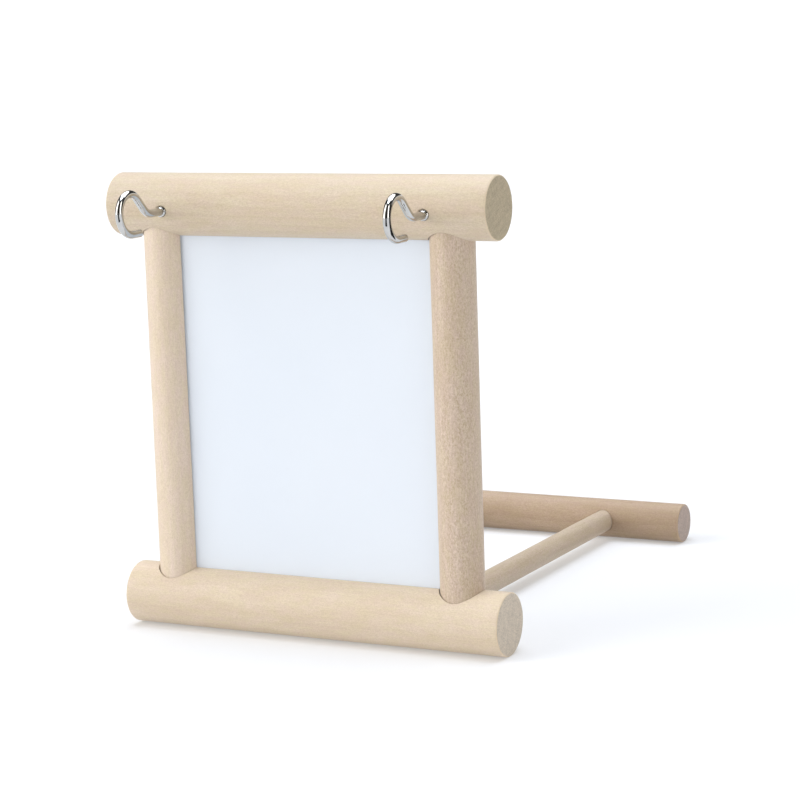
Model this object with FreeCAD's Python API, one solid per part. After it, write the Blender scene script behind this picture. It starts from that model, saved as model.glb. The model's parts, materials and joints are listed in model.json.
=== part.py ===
"""Cage mirror with a perch: a frame of wood dowels that holds a mirror, two screw hooks and a U-shaped perch.

Millimetres, +Z up. X runs along the rails, and -Y is the side with the hooks. The part stands on its
bottom rail and its perch bar, and the origin is the bottom centre of its box.
"""

import FreeCAD, Part
import math
import os

# Frame
RAIL_D = 20.0
RAIL_LENGTH = 133.0
RAIL_SPACING = 127.5  # axis to axis
POST_D = 14.0
POST_SPACING = 101.5  # axis to axis
POST_SEAT = 12.0  # how far a post goes into a rail, from the rail's surface
RAIL_CHAMFER = 0.4

# Panel: an acrylic mirror that faces the perch, and a white sheet behind it
MIRROR_T = 2.0
BOARD_T = 1.0
GROOVE_DEPTH = 3.0

# Perch
PERCH_REACH = 164.0  # rail axis to bar axis
BAR_D = 14.0
BAR_LENGTH = 123.0
BAR_CHAMFER = 0.6
ARM_D = 8.0
ARM_SPACING = 64.0  # axis to axis
ARM_SEAT_IN_RAIL = 12.0
ARM_SEAT_IN_BAR = 9.0

# Screw hooks
HOOK_SPACING = 92.0  # axis to axis
HOOK_DROP = 1.5  # screw axis below the top rail's axis
HOOK_WIRE_D = 2.5
SCREW_D = 3.4
SCREW_PROUD = 0.9  # threaded length that stays outside the wood
SCREW_DEPTH = 11.0  # threaded length in the wood
SCREW_POINT = 3.0  # length of its conical point
NECK_RISE_DEG = 45.0  # slope at which the neck climbs to the crook
NECK_BEND_R = 6.0
NECK_START = 5.4  # straight shank outside the rail
NECK_STRAIGHT = 5.0
CROOK_R = 5.9  # from the neck over the top to the front
CROOK_LOWER_R = 6.6  # from the front to the bottom
TIP_LENGTH = 4.6  # straight end that points back at the rail
TIP_CHAMFER = 0.3

# Clearances
DOWEL_CLEARANCE = 0.10  # radial, glued dowel in its hole
GROOVE_CLEARANCE = 0.10  # panel in its grooves, each way
SCREW_CLEARANCE = 0.05  # radial, the screw turns in its bore
BORE_END_GAP = 0.5  # between a screw's point and the bottom of its bore
DOWEL_EDGE = 0.3  # small break on the hidden dowel ends

RAIL_R = RAIL_D / 2
POST_R = POST_D / 2
BAR_R = BAR_D / 2
ARM_R = ARM_D / 2
WIRE_R = HOOK_WIRE_D / 2
SCREW_R = SCREW_D / 2
PANEL_T = MIRROR_T + BOARD_T

X = FreeCAD.Vector(1, 0, 0)
Y = FreeCAD.Vector(0, 1, 0)
Z = FreeCAD.Vector(0, 0, 1)

# The hook's furthest point in front of the rail's axis
NECK_RISE = math.radians(NECK_RISE_DEG)
HOOK_FRONT = (
    RAIL_R
    + NECK_START
    + NECK_BEND_R * math.sin(NECK_RISE)
    + NECK_STRAIGHT * math.cos(NECK_RISE)
    + CROOK_R * math.sin(NECK_RISE)
    + CROOK_R
    + WIRE_R
)
PERCH_BACK = PERCH_REACH + BAR_R

# The rails' axes lie in the plane y = FRAME_Y, so that the box is centred on the origin
FRAME_Y = (HOOK_FRONT - PERCH_BACK) / 2
BOTTOM_Z = RAIL_R
TOP_Z = BOTTOM_Z + RAIL_SPACING
PERCH_Y = FRAME_Y + PERCH_REACH
PERCH_Z = BAR_R  # the bar's underside is level with the bottom rail's
HOOK_Z = TOP_Z - HOOK_DROP

# Where the panel's grooves end
GROOVE_LOW_Z = BOTTOM_Z + RAIL_R - GROOVE_DEPTH
GROOVE_HIGH_Z = TOP_Z - RAIL_R + GROOVE_DEPTH
GROOVE_HALF_WIDTH = POST_SPACING / 2 - POST_R + GROOVE_DEPTH
GROOVE_T = PANEL_T + 2 * GROOVE_CLEARANCE


def vec(x, y, z):
    return FreeCAD.Vector(x, y, z)


def rod(radius, start, direction, length, chamfer=0.0):
    """A round dowel from start along direction, with both end edges broken if chamfer is given."""
    body = Part.makeCylinder(radius, length, start, direction)
    if chamfer:
        rims = [e for e in body.Edges if isinstance(e.Curve, Part.Circle)]
        body = body.makeChamfer(chamfer, rims)
    return body


def block(x_range, y_range, z_range):
    low = vec(x_range[0], y_range[0], z_range[0])
    size = [b - a for a, b in (x_range, y_range, z_range)]
    return Part.makeBox(*size, low)


def groove(x_range, z_range):
    """The slot that the panel's edge sits in."""
    half = GROOVE_T / 2
    return block(x_range, (FRAME_Y - half, FRAME_Y + half), z_range)


def surface_depth(radius, offset):
    """Distance from a dowel's axis to its surface along a line that misses the axis by offset."""
    return math.sqrt(radius**2 - offset**2)


def sides():
    """The two sides of the symmetric part: name and sign of x."""
    return (("left", -1), ("right", 1))


def make_rail(axis_z, inward):
    """A frame rail with blind holes and a groove in the side that inward (+1 up, -1 down) gives."""
    rail = rod(RAIL_R, vec(-RAIL_LENGTH / 2, FRAME_Y, axis_z), X, RAIL_LENGTH, RAIL_CHAMFER)
    face_z = axis_z + inward * RAIL_R
    seat_z = face_z - inward * POST_SEAT
    for _, side in sides():
        hole_start = vec(side * POST_SPACING / 2, FRAME_Y, seat_z)
        rail = rail.cut(rod(POST_R + DOWEL_CLEARANCE, hole_start, Z * inward, RAIL_D))
    groove_z = sorted((face_z - inward * GROOVE_DEPTH, face_z + inward))
    return rail.cut(groove((-POST_SPACING / 2, POST_SPACING / 2), groove_z))


def make_top_rail():
    rail = make_rail(TOP_Z, -1)
    for _, side in sides():
        rail = rail.cut(hook_bore(side * HOOK_SPACING / 2))
    return rail


def make_bottom_rail():
    rail = make_rail(BOTTOM_Z, 1)
    for _, side in sides():
        start = vec(side * ARM_SPACING / 2, arm_rail_end_y(), PERCH_Z)
        rail = rail.cut(rod(ARM_R + DOWEL_CLEARANCE, start, Y, RAIL_D))
    return rail


def make_post(side):
    """An upright: both ends sit on the bottoms of the rails' holes, and its groove runs end to end.

    The hook's screw goes through the top rail's wall into the upright's end, which it locks.
    """
    low_z = BOTTOM_Z + RAIL_R - POST_SEAT
    high_z = TOP_Z - RAIL_R + POST_SEAT
    centre_x = side * POST_SPACING / 2
    post = rod(POST_R, vec(centre_x, FRAME_Y, low_z), Z, high_z - low_z, DOWEL_EDGE)
    inner_x = side * (POST_SPACING / 2 - POST_R)
    groove_x = sorted((inner_x - side, inner_x + side * GROOVE_DEPTH))
    post = post.cut(groove(groove_x, (low_z, high_z)))
    return post.cut(hook_bore(side * HOOK_SPACING / 2))


def make_sheet(front_y, back_y):
    """A sheet of the panel. It stands on the bottom groove and clears the others."""
    half = GROOVE_HALF_WIDTH - GROOVE_CLEARANCE
    return block((-half, half), (front_y, back_y), (GROOVE_LOW_Z, GROOVE_HIGH_Z - GROOVE_CLEARANCE))


def arm_rail_end_y():
    """Bottom of an arm's hole in the bottom rail."""
    return FRAME_Y + surface_depth(RAIL_R, BOTTOM_Z - PERCH_Z) - ARM_SEAT_IN_RAIL


def arm_bar_end_y():
    """Bottom of an arm's hole in the perch bar."""
    return PERCH_Y - BAR_R + ARM_SEAT_IN_BAR


def make_arm(side):
    start = vec(side * ARM_SPACING / 2, arm_rail_end_y(), PERCH_Z)
    return rod(ARM_R, start, Y, arm_bar_end_y() - arm_rail_end_y(), DOWEL_EDGE)


def make_perch_bar():
    bar = rod(BAR_R, vec(-BAR_LENGTH / 2, PERCH_Y, PERCH_Z), X, BAR_LENGTH, BAR_CHAMFER)
    for _, side in sides():
        start = vec(side * ARM_SPACING / 2, arm_bar_end_y(), PERCH_Z)
        bar = bar.cut(rod(ARM_R + DOWEL_CLEARANCE, start, -Y, BAR_D))
    return bar


def rail_front_y():
    """The top rail's front surface at the height of the hooks' screws."""
    return FRAME_Y - surface_depth(RAIL_R, HOOK_DROP)


def hook_bore(x):
    """The hole that a hook's screw turns in, as the solid to cut."""
    bottom_y = rail_front_y() + SCREW_DEPTH + BORE_END_GAP
    return rod(SCREW_R + SCREW_CLEARANCE, vec(x, bottom_y, HOOK_Z), -Y, RAIL_D)


def hook_path(x):
    """The wire's centreline, from the rail out, over the top and round to the tip, as edges."""
    edges = []
    point = vec(x, FRAME_Y - RAIL_R + SCREW_PROUD, HOOK_Z)
    heading = -Y

    def straight(length):
        nonlocal point
        end = point + heading * length
        edges.append(Part.LineSegment(point, end).toShape())
        point = end

    def bend(radius, degrees):
        """Turns by degrees: up and back over for a positive angle, forward and down for a negative one."""
        nonlocal point, heading
        turn = math.copysign(1, degrees)
        centre = point + X.cross(heading) * (-turn * radius)
        arm = point - centre
        half = FreeCAD.Rotation(X, -degrees / 2)
        full = FreeCAD.Rotation(X, -degrees)
        middle = centre + half.multVec(arm)
        end = centre + full.multVec(arm)
        edges.append(Part.Arc(point, middle, end).toShape())
        point = end
        heading = full.multVec(heading)

    straight(SCREW_PROUD + NECK_START)
    bend(NECK_BEND_R, NECK_RISE_DEG)
    straight(NECK_STRAIGHT)
    bend(CROOK_R, -(NECK_RISE_DEG + 90))
    bend(CROOK_LOWER_R, -90)
    straight(TIP_LENGTH - TIP_CHAMFER)
    return edges, point, heading


def make_hook(side):
    """A cup hook: bent wire, a bevelled tip and a screw with a conical point."""
    x = side * HOOK_SPACING / 2
    edges, tip, heading = hook_path(x)
    section = Part.Wire(Part.Circle(edges[0].Vertexes[0].Point, Y, WIRE_R).toShape())
    wire = Part.Wire(edges).makePipeShell([section], True, False)
    bevel = Part.makeCone(WIRE_R, WIRE_R - TIP_CHAMFER, TIP_CHAMFER, tip, heading)
    screw_start = vec(x, rail_front_y() - SCREW_PROUD, HOOK_Z)
    shank_length = SCREW_PROUD + SCREW_DEPTH - SCREW_POINT
    shank = rod(SCREW_R, screw_start, Y, shank_length)
    cone = Part.makeCone(SCREW_R, 0, SCREW_POINT, screw_start + Y * shank_length, Y)
    return wire.fuse([bevel, shank, cone]).removeSplitter()


def all_parts():
    glass_y = FRAME_Y - PANEL_T / 2 + BOARD_T
    parts = {
        "top_rail": make_top_rail(),
        "bottom_rail": make_bottom_rail(),
        "backing_board": make_sheet(FRAME_Y - PANEL_T / 2, glass_y),
        "mirror_pane": make_sheet(glass_y, FRAME_Y + PANEL_T / 2),
        "perch_bar": make_perch_bar(),
    }
    for name, side in sides():
        parts[name + "_post"] = make_post(side)
        parts[name + "_perch_arm"] = make_arm(side)
        parts[name + "_hook"] = make_hook(side)
    return parts


os.makedirs("parts", exist_ok=True)
for node, shape in all_parts().items():
    shape.exportStep("parts/" + node + ".step")
    box = shape.BoundBox
    print(
        f"{node}: {len(shape.Solids)} solid, valid {shape.isValid()}, {shape.Volume:.0f} mm3,"
        f" x {box.XMin:.2f}..{box.XMax:.2f} y {box.YMin:.2f}..{box.YMax:.2f} z {box.ZMin:.2f}..{box.ZMax:.2f}"
    )
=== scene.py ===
"""The looks of a cage mirror with a perch.

Wood dowels hold a white board with a mirror behind it, and two screw hooks hang the frame on a cage wire.
Metres, +Z up, -Y is the side with the hooks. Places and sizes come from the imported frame. The values that it
can't give, such as the bends of the hooks' wire, are named here.
"""

import functools
import json
import math
from typing import NamedTuple

import bpy
from mathutils import Matrix, Vector, noise


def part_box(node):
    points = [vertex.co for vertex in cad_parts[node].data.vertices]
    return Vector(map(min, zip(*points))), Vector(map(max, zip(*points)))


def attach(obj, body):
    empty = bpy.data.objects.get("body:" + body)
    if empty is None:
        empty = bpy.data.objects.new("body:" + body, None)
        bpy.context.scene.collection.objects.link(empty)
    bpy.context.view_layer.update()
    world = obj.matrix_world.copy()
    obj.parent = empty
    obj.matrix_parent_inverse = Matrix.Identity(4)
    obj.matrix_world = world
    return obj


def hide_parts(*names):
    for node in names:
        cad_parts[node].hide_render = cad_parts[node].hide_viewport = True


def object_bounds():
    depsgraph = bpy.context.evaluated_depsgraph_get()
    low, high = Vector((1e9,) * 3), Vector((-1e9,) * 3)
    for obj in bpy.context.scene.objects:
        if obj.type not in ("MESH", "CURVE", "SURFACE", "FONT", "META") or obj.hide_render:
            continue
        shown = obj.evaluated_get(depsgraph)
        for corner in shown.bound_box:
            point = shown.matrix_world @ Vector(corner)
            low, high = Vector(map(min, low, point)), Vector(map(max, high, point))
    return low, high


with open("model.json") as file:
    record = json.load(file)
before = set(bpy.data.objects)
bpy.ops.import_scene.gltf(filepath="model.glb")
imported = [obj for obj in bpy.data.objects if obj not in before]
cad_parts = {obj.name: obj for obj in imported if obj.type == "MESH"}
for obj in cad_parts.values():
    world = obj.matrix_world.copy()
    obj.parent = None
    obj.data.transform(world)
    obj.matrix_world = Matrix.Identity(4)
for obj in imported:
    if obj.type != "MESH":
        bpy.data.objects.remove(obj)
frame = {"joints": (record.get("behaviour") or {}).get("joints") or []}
cad_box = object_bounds()

MM = 0.001
X = Vector((1, 0, 0))
Y = Vector((0, 1, 0))
Z = Vector((0, 0, 1))
SIDES = (("left", -1), ("right", 1))

# Dowels
DOWEL_SEGMENTS = 128
DOWEL_STEP = 1.0 * MM  # distance between the rings of a dowel's mesh
END_RINGS = (0.35, 0.7, 0.94)  # shares of a sawn end's radius
EDGE_ANGLES = (0, 22.5, 45, 67.5, 90)  # degrees round a sanded edge
RAIL_EDGE = 0.6 * MM  # radius of the sanded end edges
BAR_EDGE = 0.6 * MM
HIDDEN_EDGE = 0.3 * MM
OUT_OF_ROUND = 0.07 * MM  # how much a dowel's surface dips in places
DIP_LENGTH = 22 * MM
DIPS_AROUND = 1.3
SAW_MARKS = 0.04 * MM  # depth of the marks on a sawn end
SAW_MARK_WIDTH = 0.9 * MM
SAW_MARK_STRETCH = 4  # how many times longer than wide they are

# Joints between the dowels
CUTTER_SEGMENTS = 96
HOLE_GAP = 0.20 * MM  # radial
ARM_HOLE_GAP = 0.08 * MM
HOLE_SHIFT = 0.18 * MM  # the uprights lean against the right side of their holes
PANEL_GAP = 0.10 * MM  # panel in its grooves, each way
LEFT_GROOVE_GAP = 0.65 * MM  # the left upright's groove is wider than the panel at its top
GROOVE_DEPTH = 3.0 * MM

# Screw hooks
WIRE_R = 1.248 * MM
WIRE_SEGMENTS = 40
THREAD_R = 1.7 * MM
THREAD_ROOT_R = 1.28 * MM
THREAD_PITCH = 1.15 * MM
THREAD_PROUD = 0.9 * MM
THREAD_FADE = 0.35 * THREAD_PITCH
RIDGE_HALF_WIDTH = 0.27  # share of the pitch
RIDGE_ROUNDNESS = 0.8
RINGS_PER_TURN = 16
SCREW_DEPTH = 11.0 * MM
SCREW_POINT = 3.0 * MM
SCREW_POINT_R = 0.12  # share of the full radius
BORE_R = 1.75 * MM
BORE_DEPTH = 11.5 * MM
BORE_MOUTH_R = 2.05 * MM  # fibres crushed by the thread
BORE_MOUTH_DEPTH = 0.35 * MM
NECK_START = 5.4 * MM
NECK_RISE = math.radians(45)
NECK_BEND_R = 6.0 * MM
NECK_STRAIGHT = 5.0 * MM
CROOK_R = 5.9 * MM
CROOK_LOWER_R = 6.6 * MM
BEND_STEP = 0.3 * MM
STRAIGHT_STEP = 0.4 * MM
NECK_STEP = 0.5 * MM
TIP_LENGTH = 4.6 * MM
TIP_CHAMFER = 0.3 * MM
TIP_BEVEL = ((0.35, 0.12), (0.8, 0.55), (1.0, 1.0))  # ahead and inward, as shares of the chamfer
TIP_CORE = 0.6  # share of the wire's radius

# Sheets
SHEET_CORNER = 0.5 * MM
SHEET_EDGE = 0.12 * MM
BROKEN_EDGE = ((0, 3), (0, 1), (0.3, 0.3), (1, 0))  # depth in the sheet and inset, as shares of its edge
CORNER_STEPS = 6

# Camera
CAMERA_AZIMUTH = math.radians(27.238)
CAMERA_ELEVATION = math.radians(9.495)
CAMERA_ROLL = math.radians(-1.912)
CAMERA_DISTANCE = 766.4 * MM
CAMERA_LENS = 112.25
CAMERA_SIDE = 31.23 * MM  # the point it looks at, right of the middle
CAMERA_HEIGHT = 68.0 * MM  # and above the bottom rail's axis


class Wood(NamedTuple):
    """One dowel's wood: two shades of its side, its sawn ends, and how strongly it is marked."""

    light: tuple
    dark: tuple
    end: tuple
    roll: float  # degrees that the grain is turned about the dowel's axis
    seed: int  # sets its place in the log
    flecks: float = 0.5
    rings: float = 0.5
    mottle: float = 0.5


PERCH_ARM = Wood((0.575, 0.475, 0.37), (0.53, 0.425, 0.315), (0.4, 0.34, 0.26), 60, 7, 0.6, 0.5, 0.6)
PERCH_BAR = Wood((0.475, 0.355, 0.255), (0.42, 0.305, 0.205), (0.445, 0.345, 0.29), 110, 9, 0.5, 0.7, 0.6)
WOODS = {
    "top_rail": Wood((0.69, 0.60, 0.475), (0.67, 0.56, 0.43), (0.45, 0.37, 0.24), 70, 1),
    "bottom_rail": Wood((0.76, 0.65, 0.52), (0.72, 0.605, 0.47), (0.64, 0.55, 0.44), 200, 2, 0.35, 0.35),
    "left_post": Wood((0.81, 0.69, 0.58), (0.775, 0.655, 0.53), (0.5, 0.42, 0.32), 30, 3, 0.35, 0.25),
    "right_post": Wood((0.72, 0.605, 0.51), (0.665, 0.545, 0.43), (0.45, 0.38, 0.3), 150, 4, 1.0, 0.4, 0.7),
    "left_perch_arm": PERCH_ARM._replace(roll=-60, seed=5),
    "right_perch_arm": PERCH_ARM,
    "perch_bar": PERCH_BAR,
}


def middle(node):
    low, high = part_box(node)
    return (low + high) / 2


def size(node):
    low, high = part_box(node)
    return high - low


RAIL_R = size("top_rail").z / 2
POST_R = size("left_post").y / 2
BAR_R = size("perch_bar").z / 2
ARM_R = size("left_perch_arm").x / 2
FRAME_Y = middle("top_rail").y
BOTTOM_Z = middle("bottom_rail").z
PERCH_Z = middle("perch_bar").z
PERCH_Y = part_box("perch_bar")[1].y - BAR_R


# ---------------------------------------------------------------- meshes


def mesh_object(name, points, faces):
    mesh = bpy.data.meshes.new(name)
    mesh.from_pydata([tuple(p) for p in points], [], faces)
    mesh.validate()
    piece = bpy.data.objects.new(name, mesh)
    bpy.context.scene.collection.objects.link(piece)
    return piece


def smooth(piece, degrees=35):
    """Smooth shading that keeps edges sharper than this."""
    piece.data.polygons.foreach_set("use_smooth", [True] * len(piece.data.polygons))
    piece.data.set_sharp_from_angle(angle=math.radians(degrees))
    piece.data.update()


def loft(name, rings, first_centre, last_centre):
    """A closed skin over rings of equally many points, with a point in the middle of each end."""
    count = len(rings[0])
    points = [p for ring in rings for p in ring] + [first_centre, last_centre]
    first, last = len(points) - 2, len(points) - 1
    faces = []
    for row in range(len(rings) - 1):
        for k in range(count):
            a = row * count + k
            b = row * count + (k + 1) % count
            faces.append((a, b, b + count, a + count))
    top = (len(rings) - 1) * count
    for k in range(count):
        after = (k + 1) % count
        faces.append((first, after, k))
        faces.append((last, top + k, top + after))
    return mesh_object(name, points, faces)


def turn_angles(count):
    return [2 * math.pi * k / count for k in range(count)]


def across(direction):
    """Two unit vectors square to direction."""
    u = Z.cross(direction) if abs(direction.z) < 0.9 else X.copy()
    u.normalize()
    return u, direction.cross(u)


def dowel(name, start, end, radius, edge, seed):
    """A turned rod, slightly out of round, with sanded edges and sawn ends, inside its true cylinder."""
    direction = (end - start).normalized()
    length = (end - start).length
    u, v = across(direction)
    face = [(0.0, (radius - edge) * share) for share in END_RINGS]
    rounding = [
        (edge * (1 - math.cos(t)), radius - edge + edge * math.sin(t))
        for t in (math.radians(d) for d in EDGE_ANGLES)
    ]
    steps = max(2, round((length - 2 * edge) / DOWEL_STEP))
    body = [(edge + (length - 2 * edge) * k / steps, radius) for k in range(1, steps)]
    outline = face + rounding + body
    outline += [(length - s, r) for s, r in reversed(face + rounding)]

    def surface_point(s, r, angle):
        around = u * math.cos(angle) + v * math.sin(angle)
        dip_at = Vector((around.dot(u) * DIPS_AROUND, around.dot(v) * DIPS_AROUND, s / DIP_LENGTH))
        r -= OUT_OF_ROUND * (0.5 + 0.5 * noise.noise(dip_at + seed)) * r / radius
        spot = around * r
        if s < edge / 10 or s > length - edge / 10:
            mark_at = Vector((spot.dot(u), spot.dot(v) / SAW_MARK_STRETCH, 0)) / SAW_MARK_WIDTH
            inward = 1 if s < length / 2 else -1
            s += inward * SAW_MARKS * (0.5 + 0.5 * noise.noise(mark_at + seed))
        return start + direction * s + spot

    rings = [[surface_point(s, r, angle) for angle in turn_angles(DOWEL_SEGMENTS)] for s, r in outline]
    return loft(name, rings, surface_point(0, 0, 0), surface_point(length, 0, 0))


def cutter_rod(start, end, radius, end_radius=None):
    """A cutter for a round hole, tapered where end_radius is given."""
    u, v = across((end - start).normalized())
    angles = turn_angles(CUTTER_SEGMENTS)
    rings = []
    for point, r in ((start, radius), (end, end_radius or radius)):
        rings.append([point + (u * math.cos(a) + v * math.sin(a)) * r for a in angles])
    return loft("cutter", rings, start, end)


def cutter_slot(x_range, fronts, backs, z_range):
    """A cutter for a groove: fronts and backs are the y of its two sides at the bottom and at the top."""
    left, right = x_range
    points = []
    for z, front, back in zip(z_range, fronts, backs):
        points += [(left, front, z), (right, front, z), (right, back, z), (left, back, z)]
    faces = [(3, 2, 1, 0), (4, 5, 6, 7), (0, 1, 5, 4), (1, 2, 6, 5), (2, 3, 7, 6), (3, 0, 4, 7)]
    return mesh_object("cutter", points, faces)


def cut(piece, cutters):
    """Takes the cutters out of the piece and removes them."""
    for cutter in cutters:
        modifier = piece.modifiers.new("cut", "BOOLEAN")
        modifier.operation = "DIFFERENCE"
        modifier.solver = "EXACT"
        modifier.object = cutter
    seen = bpy.context.evaluated_depsgraph_get()
    result = bpy.data.meshes.new_from_object(piece.evaluated_get(seen))
    piece.modifiers.clear()
    piece.data = result
    for cutter in cutters:
        bpy.data.objects.remove(cutter)
    return piece


# ---------------------------------------------------------------- dowels


def post_x(side):
    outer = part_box("left_post" if side < 0 else "right_post")[0 if side < 0 else 1].x
    return outer - side * POST_R


def arm_x(side):
    return middle("left_perch_arm" if side < 0 else "right_perch_arm").x


def hook_seat(side):
    """Where a hook's screw enters the top rail."""
    child = "left_hook" if side < 0 else "right_hook"
    joint = next(j for j in frame["joints"] if j["child"] == child)
    return Vector(joint["pos_m"])


def hook_bore(side):
    seat = hook_seat(side)
    return cutter_rod(seat + Y * BORE_DEPTH, seat - Y * RAIL_R, BORE_R)


def hook_bore_mouth(side):
    seat = hook_seat(side)
    away = Y * BORE_MOUTH_DEPTH
    return cutter_rod(seat + away, seat - away, BORE_R, 2 * BORE_MOUTH_R - BORE_R)


def panel_y():
    """Front and back of the whole panel."""
    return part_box("backing_board")[0].y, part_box("mirror_pane")[1].y


def rail(name, node, inward, seed):
    """A frame rail and its cutters. inward is +1 where its holes and groove face up, -1 where down."""
    low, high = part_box(node)
    axis_z = middle(node).z
    start, end = Vector((low.x, FRAME_Y, axis_z)), Vector((high.x, FRAME_Y, axis_z))
    piece = dowel(name, start, end, RAIL_R, RAIL_EDGE, seed)
    cutters = []
    for side_name, side in SIDES:
        post_low, post_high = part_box(side_name + "_post")
        seat_z = post_low.z if inward > 0 else post_high.z
        seat = Vector((post_x(side) - HOLE_SHIFT, FRAME_Y, seat_z))
        cutters.append(cutter_rod(seat, seat + Z * inward * 3 * RAIL_R, POST_R + HOLE_GAP))
    front, back = panel_y()
    face_z = axis_z + inward * RAIL_R
    z_range = sorted((face_z - inward * GROOVE_DEPTH, face_z + inward * MM))
    x_range = (post_x(-1), post_x(1))
    cutters.append(cutter_slot(x_range, [front - PANEL_GAP] * 2, [back + PANEL_GAP] * 2, z_range))
    return piece, cutters


def top_rail():
    piece, cutters = rail("top_rail_dowel", "top_rail", -1, Vector((3, 0, 0)))
    for _, side in SIDES:
        cutters += [hook_bore(side), hook_bore_mouth(side)]
    return cut(piece, cutters)


def bottom_rail():
    piece, cutters = rail("bottom_rail_dowel", "bottom_rail", 1, Vector((0, 9, 0)))
    for _, side in SIDES:
        seat = Vector((arm_x(side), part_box("left_perch_arm")[0].y, PERCH_Z))
        cutters.append(cutter_rod(seat, seat + Y * 3 * RAIL_R, ARM_R + ARM_HOLE_GAP))
    return cut(piece, cutters)


def post(name, side):
    low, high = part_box(name + "_post")
    x = post_x(side)
    start, end = Vector((x, FRAME_Y, low.z)), Vector((x, FRAME_Y, high.z))
    piece = dowel(name + "_post_dowel", start, end, POST_R, HIDDEN_EDGE, Vector((x / MM, 5, 1)))
    front, back = panel_y()
    inner = x - side * POST_R
    x_range = sorted((inner - side * MM, inner + side * GROOVE_DEPTH))
    top_gap = LEFT_GROOVE_GAP if side < 0 else PANEL_GAP
    z_range = (low.z - MM, high.z + MM)
    slot = cutter_slot(x_range, (front - PANEL_GAP, front - top_gap), [back + PANEL_GAP] * 2, z_range)
    return cut(piece, [slot, hook_bore(side)])


def perch_arm(name, side):
    low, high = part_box(name + "_perch_arm")
    start, end = Vector((arm_x(side), low.y, PERCH_Z)), Vector((arm_x(side), high.y, PERCH_Z))
    return dowel(name + "_perch_arm_dowel", start, end, ARM_R, HIDDEN_EDGE, Vector((2, side * 7, 4)))


def perch_bar():
    low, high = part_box("perch_bar")
    start, end = Vector((low.x, PERCH_Y, PERCH_Z)), Vector((high.x, PERCH_Y, PERCH_Z))
    piece = dowel("perch_bar_dowel", start, end, BAR_R, BAR_EDGE, Vector((8, 2, 6)))
    cutters = []
    for _, side in SIDES:
        seat = Vector((arm_x(side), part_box("left_perch_arm")[1].y, PERCH_Z))
        cutters.append(cutter_rod(seat, seat - Y * 3 * BAR_R, ARM_R + ARM_HOLE_GAP))
    return cut(piece, cutters)


# ---------------------------------------------------------------- hooks


def wire_route(side):
    """The hook's centreline from the screw's point to the tip: distance along it, point and direction."""
    point = hook_seat(side) + Y * SCREW_DEPTH
    heading = -Y
    route = []
    travelled = 0.0

    def go(length, turn, step):
        """Follows an arc that turns by turn radians over length, up for a positive turn."""
        nonlocal point, heading, travelled
        count = max(2, round(length / step))
        start_heading = heading.copy()
        for k in range(count):
            route.append((travelled, point.copy(), heading.copy()))
            part = Matrix.Rotation(-turn * (k + 0.5) / count, 3, "X") @ start_heading
            heading = Matrix.Rotation(-turn * (k + 1) / count, 3, "X") @ start_heading
            chord = length / count
            if turn:
                bend = abs(turn) / count
                chord *= math.sin(bend / 2) / (bend / 2)
            point = point + part * chord
            travelled += length / count

    neck_y = FRAME_Y - RAIL_R - NECK_START
    over = NECK_RISE + math.pi / 2
    go(SCREW_DEPTH + 2 * THREAD_PROUD, 0, THREAD_PITCH / RINGS_PER_TURN)
    go(point.y - neck_y, 0, STRAIGHT_STEP)
    go(NECK_BEND_R * NECK_RISE, NECK_RISE, BEND_STEP)
    go(NECK_STRAIGHT, 0, NECK_STEP)
    go(CROOK_R * over, -over, BEND_STEP)
    go(CROOK_LOWER_R * math.pi / 2, -math.pi / 2, BEND_STEP)
    go(TIP_LENGTH - TIP_CHAMFER, 0, STRAIGHT_STEP)
    route.append((travelled, point.copy(), heading.copy()))
    return route


def thread_radius(s, angle):
    """The screw's radius at distance s from its point: a rounded ridge on a core, run out past the wood."""
    run_out = SCREW_DEPTH + THREAD_PROUD
    turn = (s / THREAD_PITCH + angle / (2 * math.pi)) % 1.0
    ridge = max(0.0, 1.0 - abs(turn - 0.5) / RIDGE_HALF_WIDTH) ** RIDGE_ROUNDNESS
    fade = min(1.0, max(0.0, (run_out - s) / THREAD_FADE))
    core = THREAD_ROOT_R if s < run_out else WIRE_R
    radius = core + (THREAD_R - THREAD_ROOT_R) * ridge * fade
    return radius * min(1.0, SCREW_POINT_R + (1 - SCREW_POINT_R) * s / SCREW_POINT)


def hook(name, side):
    """A screw hook of one bent wire: thread, neck, crook and a bevelled tip."""
    route = wire_route(side)
    angles = turn_angles(WIRE_SEGMENTS)

    def ring(point, heading, radii):
        sideways = heading.cross(X)
        return [point + (X * math.cos(a) + sideways * math.sin(a)) * r for a, r in zip(angles, radii)]

    rings = []
    for s, point, heading in route:
        threaded = s < SCREW_DEPTH + 1.5 * THREAD_PROUD  # the thread has run out by then
        rings.append(ring(point, heading, [thread_radius(s, a) if threaded else WIRE_R for a in angles]))
    _, tip, heading = route[-1]
    bevel = [(ahead * TIP_CHAMFER, WIRE_R - inward * TIP_CHAMFER) for ahead, inward in TIP_BEVEL]
    for ahead, r in bevel + [(TIP_CHAMFER, TIP_CORE * WIRE_R)]:
        rings.append(ring(tip + heading * ahead, heading, [r] * WIRE_SEGMENTS))
    piece = loft(name + "_hook_wire", rings, route[0][1], tip + heading * TIP_CHAMFER)
    smooth(piece, degrees=40)
    return piece


# ---------------------------------------------------------------- sheets


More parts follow.
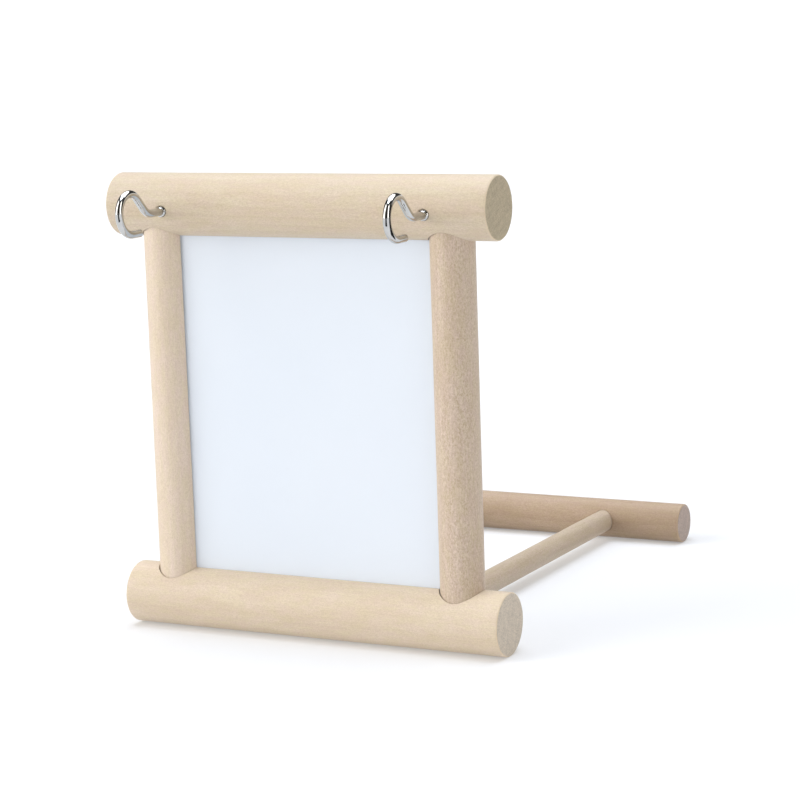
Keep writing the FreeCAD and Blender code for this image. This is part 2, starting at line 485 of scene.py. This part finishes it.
def sheet(name, node, corner, edge):
    """A cut sheet: rounded corners, and edges broken on both faces."""
    low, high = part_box(node)
    centre = middle(node)
    outline = []
    for quarter, (x, z) in enumerate(((high.x, high.z), (low.x, high.z), (low.x, low.z), (high.x, low.z))):
        inset_x = x - math.copysign(corner, x - centre.x)
        inset_z = z - math.copysign(corner, z - centre.z)
        for k in range(CORNER_STEPS + 1):
            angle = math.radians(90 * (quarter + k / CORNER_STEPS))
            outline.append((inset_x, inset_z, math.cos(angle), math.sin(angle)))
    outline.reverse()

    def ring(y, shrink):
        r = corner - shrink
        return [Vector((x + c * r, y, z + s * r)) for x, z, c, s in outline]

    rings = [ring(low.y + depth * edge, shrink * edge) for depth, shrink in BROKEN_EDGE]
    rings += [ring(high.y - depth * edge, shrink * edge) for depth, shrink in reversed(BROKEN_EDGE)]
    piece = loft(name, rings, Vector((centre.x, low.y, centre.z)), Vector((centre.x, high.y, centre.z)))
    smooth(piece, degrees=50)
    return piece


# ---------------------------------------------------------------- materials


class Shader:
    """A material with short ways to add nodes. A value may be a socket, a number or a tuple."""

    def __init__(self, name):
        self.material = bpy.data.materials.new(name)
        self.material.use_nodes = True
        self.tree = self.material.node_tree
        self.surface = self.tree.nodes["Principled BSDF"]
        self.object = self.add("TexCoord").outputs["Object"]

    def add(self, kind, **settings):
        node = self.tree.nodes.new("ShaderNode" + kind)
        for key, value in settings.items():
            setattr(node, key, value)
        return node

    def feed(self, socket, value):
        if isinstance(value, bpy.types.NodeSocket):
            self.tree.links.new(value, socket)
        else:
            socket.default_value = value

    def set(self, **values):
        """Feeds the surface's sockets: base_color is Base Color."""
        for key, value in values.items():
            self.feed(self.surface.inputs[key.replace("_", " ").title().replace("Ior", "IOR")], value)

    def maths(self, operation, a, b=0.0):
        node = self.add("Math", operation=operation)
        self.feed(node.inputs[0], a)
        self.feed(node.inputs[1], b)
        return node.outputs[0]

    def times(self, a, b):
        return self.maths("MULTIPLY", a, b)

    def total(self, *parts):
        return functools.reduce(functools.partial(self.maths, "ADD"), parts)

    def vector(self, operation, a, b, out="Vector"):
        node = self.add("VectorMath", operation=operation)
        self.feed(node.inputs[0], a)
        self.feed(node.inputs[1], b)
        return node.outputs[out]

    def stretch(self, vector, factors):
        return self.vector("MULTIPLY", vector, factors)

    def between(self, value, low, high, to_low=0.0, to_high=1.0):
        """A smooth step from to_low to to_high as value goes from low to high."""
        node = self.add("MapRange", interpolation_type="SMOOTHSTEP")
        for socket, v in zip(node.inputs, (value, low, high, to_low, to_high)):
            self.feed(socket, v)
        return node.outputs[0]

    def mix(self, factor, a, b, blend="MIX"):
        node = self.add("Mix", data_type="RGBA", blend_type=blend)
        self.feed(node.inputs[0], factor)
        self.feed(node.inputs[6], a)
        self.feed(node.inputs[7], b)
        return node.outputs[2]

    def noise(self, vector, scale, detail=2.0, roughness=0.5, out="Fac"):
        node = self.add("TexNoise")
        self.feed(node.inputs["Vector"], vector)
        self.feed(node.inputs["Scale"], scale)
        self.feed(node.inputs["Detail"], detail)
        self.feed(node.inputs["Roughness"], roughness)
        return node.outputs[out]

    def marks(self, vector, density, detail, roughness):
        """Noise with a density of its own along each axis."""
        return self.noise(self.stretch(vector, density), 1.0, detail, roughness)

    def dots(self, vector, scale, core, rim):
        """Scattered dots: 1 within core of a dot's middle, 0 past rim."""
        node = self.add("TexVoronoi")
        self.feed(node.inputs["Vector"], vector)
        self.feed(node.inputs["Scale"], scale)
        return self.between(node.outputs["Distance"], core, rim, to_low=1.0, to_high=0.0)

    def bump(self, height, distance, strength):
        node = self.add("Bump")
        self.feed(node.inputs["Strength"], strength)
        self.feed(node.inputs["Distance"], distance)
        self.feed(node.inputs["Height"], height)
        self.feed(self.surface.inputs["Normal"], node.outputs["Normal"])


def colour(r, g, b):
    return (r, g, b, 1.0)


def scaled(shade, factors):
    return colour(*[min(1.0, c * k) for c, k in zip(shade, factors)])


# Wood. The grain's coordinates are in millimetres, z along the dowel: a density is marks per millimetre.
LOG_STEP = (3.7, -5.3, 41.0)  # from one dowel's place in the log to the next
WANDER_DENSITY = (0.09, 0.09, 0.018)  # how often the grain bends
WANDER = (7.0, 7.0, 0.0)  # how far
PITH = (21.0, 4.0, 0.0)  # the growth rings' middle, outside the dowel
RING_DENSITY = 0.105
LATE_WOOD = 2.4  # a higher power leaves a thinner dark line in each ring
MARK_SHADE = (0.66, 0.60, 0.53)  # a mark's colour, as shares of the dark shade
PINKER = colour(1.01, 0.99, 1.0)
YELLOWER = colour(0.995, 1.0, 0.93)
PAINTED_RIM_HIGHLIGHT = (1.08, 1.02, 0.88)  # painted highlight on the rounded end edges, lighter and yellower, as shares of the light shade
END_LIGHT = 1.16  # the sawn end's two tones, as shares of its colour
END_DARK = 0.55
RIM_FACING = (0.08, 0.4)  # how squarely a surface faces along the dowel where its side becomes its edge
END_FACING = (0.96, 0.985)  # and where its edge becomes its sawn end


class WoodShader(Shader):
    """Solid wood along a dowel's axis: growth rings round a pith outside it, fibres, flecks, pores, rays."""

    def __init__(self, name, axis, looks):
        super().__init__(name)
        self.axis = axis
        self.looks = looks
        self.grain = self.place_in_log()
        self.bent = self.follow_fibres()
        self.ring = self.growth_rings()
        self.fibre = self.marks(self.bent, density=(9.0, 9.0, 0.8), detail=2.0, roughness=0.6)
        self.speckle = self.marks(self.grain, density=(3.4, 3.4, 3.4), detail=3.0, roughness=0.75)
        self.ray = self.dots(self.stretch(self.bent, (0.8, 3.6, 0.7)), scale=1.0, core=0.14, rim=0.34)
        self.pore = self.dots(self.stretch(self.grain, (5.2, 5.2, 0.9)), scale=1.0, core=0.12, rim=0.30)

    def place_in_log(self):
        """Millimetres in the log, z along the dowel."""
        turn = self.axis.to_track_quat("Z", "Y").inverted()
        turn = Matrix.Rotation(math.radians(self.looks.roll), 3, "Z") @ turn.to_matrix()
        mapping = self.add("Mapping")
        self.feed(mapping.inputs["Vector"], self.object)
        self.feed(mapping.inputs["Scale"], (1 / MM,) * 3)
        self.feed(mapping.inputs["Rotation"], turn.to_euler())
        self.feed(mapping.inputs["Location"], [step * self.looks.seed for step in LOG_STEP])
        return mapping.outputs["Vector"]

    def follow_fibres(self):
        """The same, bent sideways as the fibres are."""
        wander = self.noise(self.stretch(self.grain, WANDER_DENSITY), 1.0, out="Color")
        drift = self.stretch(self.vector("SUBTRACT", wander, (0.5, 0.5, 0.5)), WANDER)
        return self.vector("ADD", self.grain, drift)

    def growth_rings(self):
        wave = self.add("TexWave", wave_type="RINGS", rings_direction="Z", wave_profile="SAW")
        self.feed(wave.inputs["Vector"], self.vector("ADD", self.bent, PITH))
        self.feed(wave.inputs["Scale"], RING_DENSITY)
        self.feed(wave.inputs["Distortion"], 0.8)
        self.feed(wave.inputs["Detail"], 2.0)
        self.feed(wave.inputs["Detail Scale"], 0.6)
        return self.maths("POWER", wave.outputs["Fac"], LATE_WOOD)

    def side_colour(self):
        looks = self.looks
        broad = self.marks(self.grain, density=(0.16, 0.16, 0.035), detail=3.0, roughness=0.55)
        streak = self.marks(self.grain, density=(1.7, 1.7, 0.10), detail=3.0, roughness=0.6)
        fleck = self.marks(self.bent, density=(2.6, 2.6, 0.85), detail=2.0, roughness=0.55)
        speck = self.marks(self.grain, density=(2.9, 2.9, 2.1), detail=3.0, roughness=0.7)
        warmth = self.marks(self.bent, density=(0.45, 0.45, 0.16), detail=4.0, roughness=0.7)
        darkness = self.total(
            self.times(self.ring, 0.22 * looks.rings),
            self.between(streak, 0.3, 0.72, to_high=0.20 * looks.mottle),
            self.between(fleck, 0.34, 0.66, to_high=0.34 * looks.flecks),
            self.between(self.fibre, 0.25, 0.8, to_high=0.24 * looks.mottle),
            self.between(speck, 0.35, 0.65, to_high=0.60 * looks.mottle),
            self.times(self.ray, 0.18 * looks.flecks),
            self.times(self.pore, 0.16 * looks.flecks),
        )
        base = self.mix(self.between(broad, 0.35, 0.65), colour(*looks.light), colour(*looks.dark))
        marked = self.mix(darkness, base, scaled(looks.dark, MARK_SHADE))
        tint = self.mix(self.between(warmth, 0.38, 0.62), PINKER, YELLOWER)
        return self.mix(1.0, marked, tint, "MULTIPLY")

    def end_colour(self):
        saw = self.marks(self.grain, density=(3.0, 0.35, 1.0), detail=2.0, roughness=0.6)
        vessels = self.marks(self.grain, density=(0.6, 2.0, 1.0), detail=3.0, roughness=0.7)
        blotch = self.marks(self.grain, density=(1.5, 1.5, 1.5), detail=3.0, roughness=0.7)
        darkness = self.total(
            self.between(self.speckle, 0.34, 0.66, to_low=-0.1, to_high=0.35),
            self.times(self.pore, 0.35),
            self.between(saw, 0.38, 0.62, to_high=0.18),
            self.between(vessels, 0.38, 0.62, to_high=0.20),
            self.between(blotch, 0.38, 0.62, to_high=0.10),
            self.times(self.ring, 0.12),
        )
        end = self.looks.end
        return self.mix(darkness, scaled(end, (END_LIGHT,) * 3), scaled(end, (END_DARK,) * 3))


def wood(name, axis, looks):
    """The material of a dowel along axis: its side, its rounded end edges with a painted highlight, and its
    sawn ends.
    """
    shader = WoodShader(name, axis, looks)
    side = shader.side_colour()
    # rim is a painted highlight: the side's colour mixed half way to a lighter, yellower copy of its light
    # shade
    rim = shader.mix(0.5, side, scaled(looks.light, PAINTED_RIM_HIGHLIGHT))
    normal = shader.add("NewGeometry").outputs["True Normal"]
    facing = shader.maths("ABSOLUTE", shader.vector("DOT_PRODUCT", normal, tuple(axis), "Value"))
    is_end = shader.between(facing, *END_FACING)
    is_not_end = shader.between(facing, *END_FACING, to_low=1.0, to_high=0.0)
    # where the painted highlight lies: surfaces that face partly along the dowel, on its rounded end edges
    highlight_rim_mask = shader.times(shader.between(facing, *RIM_FACING), is_not_end)
    shader.set(base_color=shader.mix(is_end, shader.mix(highlight_rim_mask, side, rim), shader.end_colour()))

    rough = shader.between(shader.fibre, 0.2, 0.8, to_low=0.50, to_high=0.62)
    rough = shader.total(rough, shader.times(is_end, 0.2))
    shader.set(roughness=rough, specular_ior_level=0.65, sheen_weight=0.15, sheen_roughness=0.45)
    relief = shader.total(
        shader.times(shader.fibre, 0.5),
        shader.times(shader.pore, -0.5),
        shader.times(shader.ray, -0.3),
        shader.times(shader.times(shader.speckle, is_end), 2.0),
    )
    shader.bump(relief, distance=0.05 * MM, strength=0.6)
    return shader.material


def board_material():
    """White plastic sheet, semi-gloss, with a very faint unevenness."""
    shader = Shader("white_board")
    cloud = shader.noise(shader.object, scale=14.0, detail=3.0, roughness=0.5)
    fine = shader.noise(shader.object, scale=900.0, detail=2.0, roughness=0.6)
    dust = shader.dots(shader.object, scale=160.0, core=0.02, rim=0.05)
    cloudy = shader.between(cloud, 0.3, 0.7)
    white = shader.mix(cloudy, colour(0.725, 0.782, 0.858), colour(0.742, 0.795, 0.867))
    shader.set(base_color=shader.mix(shader.times(dust, 0.12), white, colour(0.55, 0.56, 0.58)))
    rough = shader.between(fine, 0.3, 0.7, to_low=0.30, to_high=0.40)
    shader.set(roughness=rough, specular_ior_level=0.4)
    shader.bump(shader.total(fine, shader.times(cloud, 4.0)), distance=0.02 * MM, strength=0.35)
    return shader.material


def mirror_material():
    """Acrylic mirror: a metal coat with the sheet's slight waviness and wiping marks."""
    shader = Shader("mirror_acrylic")
    wave = shader.noise(shader.object, scale=22.0, detail=1.0, roughness=0.4)
    smear = shader.marks(shader.object, density=(60.0, 60.0, 380.0), detail=3.0, roughness=0.6)
    fine = shader.noise(shader.object, scale=60.0, detail=3.0, roughness=0.6)
    coat = shader.mix(shader.between(fine, 0.3, 0.7), colour(0.865, 0.88, 0.89), colour(0.88, 0.893, 0.90))
    rough = shader.between(smear, 0.35, 0.75, to_low=0.015, to_high=0.05)
    shader.set(base_color=coat, metallic=1.0, roughness=rough)
    shader.bump(wave, distance=0.12 * MM, strength=0.5)
    return shader.material


def mirror_edge_material():
    """The sawn edge and the painted back of the acrylic mirror."""
    shader = Shader("mirror_edge")
    scratch = shader.marks(shader.object, density=(900.0, 4000.0, 900.0), detail=2.0, roughness=0.6)
    shader.set(base_color=shader.mix(scratch, colour(0.36, 0.39, 0.40), colour(0.48, 0.51, 0.52)))
    shader.set(roughness=shader.between(scratch, 0.3, 0.7, to_low=0.25, to_high=0.45))
    shader.bump(scratch, distance=0.02 * MM, strength=0.5)
    return shader.material


def metal_material():
    """Bright nickel plate over wire, faintly clouded, with fine pits."""
    shader = Shader("hook_metal")
    cloud = shader.noise(shader.object, scale=240.0, detail=3.0, roughness=0.6)
    pit = shader.dots(shader.object, scale=2300.0, core=0.08, rim=0.2)
    fine = shader.noise(shader.object, scale=2600.0, detail=3.0, roughness=0.65)
    plate = shader.mix(shader.between(cloud, 0.3, 0.7), colour(0.52, 0.52, 0.51), colour(0.58, 0.58, 0.57))
    shader.set(base_color=shader.mix(shader.times(pit, 0.35), plate, colour(0.5, 0.49, 0.47)))
    rough = shader.between(cloud, 0.35, 0.7, to_low=0.05, to_high=0.10)
    shader.set(metallic=1.0, roughness=shader.total(rough, shader.times(pit, 0.2)))
    shader.bump(fine, distance=0.008 * MM, strength=0.5)
    return shader.material


# ---------------------------------------------------------------- pieces


def place(piece, node, body, slot, *materials):
    piece.data.materials.clear()
    for material in materials:
        piece.data.materials.append(material)
    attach(piece, body)
    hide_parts(node)


def make_woodwork():
    dowels = [("top_rail", top_rail(), X, "rail_wood"), ("bottom_rail", bottom_rail(), X, "rail_wood")]
    dowels += [(name + "_post", post(name, side), Z, "post_wood") for name, side in SIDES]
    dowels += [(name + "_perch_arm", perch_arm(name, side), Y, "arm_wood") for name, side in SIDES]
    dowels += [("perch_bar", perch_bar(), X, "perch_wood")]
    for node, piece, axis, slot in dowels:
        smooth(piece)
        place(piece, node, "frame", slot, wood(node + "_wood", axis, WOODS[node]))


def make_panel():
    board = sheet("backing_board_sheet", "backing_board", SHEET_CORNER, SHEET_EDGE)
    place(board, "backing_board", "frame", "white_board", board_material())
    mirror = sheet("mirror_pane_sheet", "mirror_pane", SHEET_CORNER, SHEET_EDGE)
    place(mirror, "mirror_pane", "frame", "mirror_acrylic", mirror_material(), mirror_edge_material())
    for face in mirror.data.polygons:
        is_back = face.normal.y > 0.99  # the mirror itself, and the rest shows the sheet's edge material
        face.material_index = 0 if is_back else 1


def make_hooks():
    metal = metal_material()
    for name, side in SIDES:
        place(hook(name, side), name + "_hook", name + "_hook", "hook_metal", metal)


# ---------------------------------------------------------------- studio


# Soft lights: azimuth and elevation of the middle, half width and half height, all in degrees, then the
# strength and the strength in reflections. Azimuth 0 is the side of the hooks, 90 the right side.
LIGHTS = (
    (-50, 18, 22, 35, 3.3, 3.3),  # left front
    (65, 16, 12, 32, 1.35, 3.4),  # right front, narrow
    (0, 90, 180, 21, 4.1, 6.0),  # overhead
    (180, 58, 70, 14, 1.2, 5.0),  # high at the back
    (180, 4, 58, 10, 0.0, 0.9),  # the white sweep behind, which only the mirror and the metal show
)
LIGHT_EDGE = 6  # degrees over which a light fades out
WARM = (1.03, 1.0, 0.955, 1.0)  # the low lights
COOL = (0.94, 1.0, 1.10, 1.0)  # the light from above
COOL_ABOVE = (45, 65)  # degrees
AMBIENT = 0.31
AMBIENT_IN_REFLECTIONS = 0.06
BACKDROP = 1.15  # what the camera sees past the floor

FLOOR_HALF = 60.0
FLOOR_GLOW = 0.28

# The black card lies on the floor in front of the part, and stands up at its far end
CARD_NEAR = 0.20  # from the part's front
CARD_FAR = 1.60
CARD_NEAR_X = (-0.07, 0.15)  # left and right
CARD_FAR_X = (-0.25, 0.85)
CARD_TOP_X = (0.05, 0.45)
CARD_HEIGHT = 0.85
CARD_LIFT = 0.5 * MM  # off the floor

# The black flag
FLAG_BESIDE = 10 * MM  # right of the hook
FLAG_BEHIND = (1 * MM, 14 * MM)  # its front and back edge, from the hook's front
FLAG_ABOVE = (-15 * MM, 7 * MM)  # its bottom and top, from the screw's axis


def make_world():
    """Soft lights in a dim grey surround. The camera sees plain white instead."""
    world = bpy.data.worlds.new("studio")
    bpy.context.scene.world = world
    world.use_nodes = True
    tree = world.node_tree

    def add(kind, inputs, **settings):
        """A node with its inputs fed in order, and its first output."""
        node = tree.nodes.new("ShaderNode" + kind)
        for key, value in settings.items():
            setattr(node, key, value)
        for socket, value in zip(node.inputs, inputs):
            if isinstance(value, bpy.types.NodeSocket):
                tree.links.new(value, socket)
            elif value is not None:
                socket.default_value = value
        return node.outputs[0]

    def maths(operation, *inputs):
        return add("Math", inputs, operation=operation)

    direction = tree.nodes.new("ShaderNodeTexCoord").outputs["Generated"]
    split = tree.nodes.new("ShaderNodeSeparateXYZ")
    tree.links.new(direction, split.inputs[0])
    x, y, z = split.outputs
    azimuth = maths("MULTIPLY", maths("ARCTAN2", x, maths("MULTIPLY", y, -1.0)), math.degrees(1))
    elevation = maths("MULTIPLY", maths("ARCSINE", z), math.degrees(1))
    paths = tree.nodes.new("ShaderNodeLightPath").outputs

    def inside(angle, centre, half):
        away = maths("PINGPONG", maths("SUBTRACT", angle, centre), 180.0)
        edges = (half - LIGHT_EDGE / 2, half + LIGHT_EDGE / 2)
        return add("MapRange", (away, *edges, 1.0, 0.0), interpolation_type="SMOOTHSTEP")

    def choose(ray, otherwise, value):
        """One strength for this kind of ray and another for the rest."""
        return add("Mix", (paths[ray], None, otherwise, value), data_type="FLOAT")

    total = choose("Is Glossy Ray", AMBIENT, AMBIENT_IN_REFLECTIONS)
    for at, up, half_width, half_height, strength, reflected in LIGHTS:
        shape = maths("MULTIPLY", inside(azimuth, at, half_width), inside(elevation, up, half_height))
        level = choose("Is Glossy Ray", strength, reflected)
        total = maths("ADD", total, maths("MULTIPLY", shape, level))
    height = add("MapRange", (elevation, *COOL_ABOVE, 0.0, 1.0), interpolation_type="SMOOTHSTEP")
    tone = tree.nodes.new("ShaderNodeMix")
    tone.data_type = "RGBA"
    tree.links.new(height, tone.inputs[0])
    tone.inputs[6].default_value = WARM
    tone.inputs[7].default_value = COOL
    background = tree.nodes["Background"]
    tree.links.new(tone.outputs[2], background.inputs["Color"])
    tree.links.new(choose("Is Camera Ray", total, BACKDROP), background.inputs["Strength"])


def floor_material():
    """A matt white sheet of plastic, lit a little from below as on a photographer's table."""
    shader = Shader("paper")
    shade = shader.noise(shader.object, scale=3.0, detail=2.0, roughness=0.5)
    tooth = shader.noise(shader.object, scale=700.0, detail=2.0, roughness=0.6)
    shade = shader.between(shade, 0.3, 0.7)
    white = shader.mix(shade, colour(0.61, 0.61, 0.615), colour(0.62, 0.62, 0.625))
    rough = shader.between(tooth, 0.2, 0.8, to_low=0.8, to_high=0.95)
    shader.set(base_color=white, roughness=rough, specular_ior_level=0.0)
    shader.set(emission_color=colour(0.97, 0.985, 1.0), emission_strength=FLOOR_GLOW)
    return shader.material


def make_floor():
    half = FLOOR_HALF
    corners = [(-half, -half, 0), (half, -half, 0), (half, half, 0), (-half, half, 0)]
    floor = mesh_object("floor", corners, [(0, 1, 2, 3)])
    floor.data.materials.append(floor_material())


def stage_black(card):
    """A matt black card that only shiny surfaces show."""
    shader = Shader("black_card")
    shader.set(base_color=colour(0.015, 0.015, 0.015), roughness=0.9)
    card.data.materials.append(shader.material)
    for ray in ("camera", "diffuse", "shadow", "transmission", "volume_scatter"):
        setattr(card, "visible_" + ray, False)


def make_card():
    """A black card in front, outside the picture. It gives bright metal its dark lines."""
    front = cad_box[0].y
    near, far = front - CARD_NEAR, front - CARD_FAR
    points = [(CARD_NEAR_X[0], near, CARD_LIFT), (CARD_NEAR_X[1], near, CARD_LIFT)]
    points += [(CARD_FAR_X[1], far, CARD_LIFT), (CARD_FAR_X[0], far, CARD_LIFT)]
    points += [(CARD_TOP_X[1], far, CARD_HEIGHT), (CARD_TOP_X[0], far, CARD_HEIGHT)]
    stage_black(mesh_object("card", points, [(0, 1, 2, 3), (3, 2, 4, 5)]))


def make_flag():
    """A small black flag beside the right hook. It gives its crook the dark inner line."""
    seat = hook_seat(1)
    x = seat.x + FLAG_BESIDE
    front, back = (cad_box[0].y + behind for behind in FLAG_BEHIND)
    low, top = (seat.z + above for above in FLAG_ABOVE)
    corners = [(x, front, low), (x, back, low), (x, back, top), (x, front, top)]
    stage_black(mesh_object("flag", corners, [(0, 1, 2, 3)]))


def make_camera():
    camera = bpy.data.objects.new("camera", bpy.data.cameras.new("camera"))
    bpy.context.scene.collection.objects.link(camera)
    back = Vector((
        math.sin(CAMERA_AZIMUTH) * math.cos(CAMERA_ELEVATION),
        -math.cos(CAMERA_AZIMUTH) * math.cos(CAMERA_ELEVATION),
        math.sin(CAMERA_ELEVATION),
    ))
    target = Vector((CAMERA_SIDE, FRAME_Y, BOTTOM_Z + CAMERA_HEIGHT))
    camera.location = target + back * CAMERA_DISTANCE
    upright = back.to_track_quat("Z", "Y").to_matrix()
    camera.rotation_euler = (upright @ Matrix.Rotation(CAMERA_ROLL, 3, "Z")).to_euler()
    camera.data.lens = CAMERA_LENS
    camera.data.sensor_width = 36.0
    camera.data.clip_start = 0.01
    camera.data.clip_end = 200.0
    bpy.context.scene.camera = camera
    bpy.context.scene.view_settings.view_transform = "Standard"


make_camera()
make_floor()
make_world()
make_card()
make_flag()
make_woodwork()
make_panel()
make_hooks()
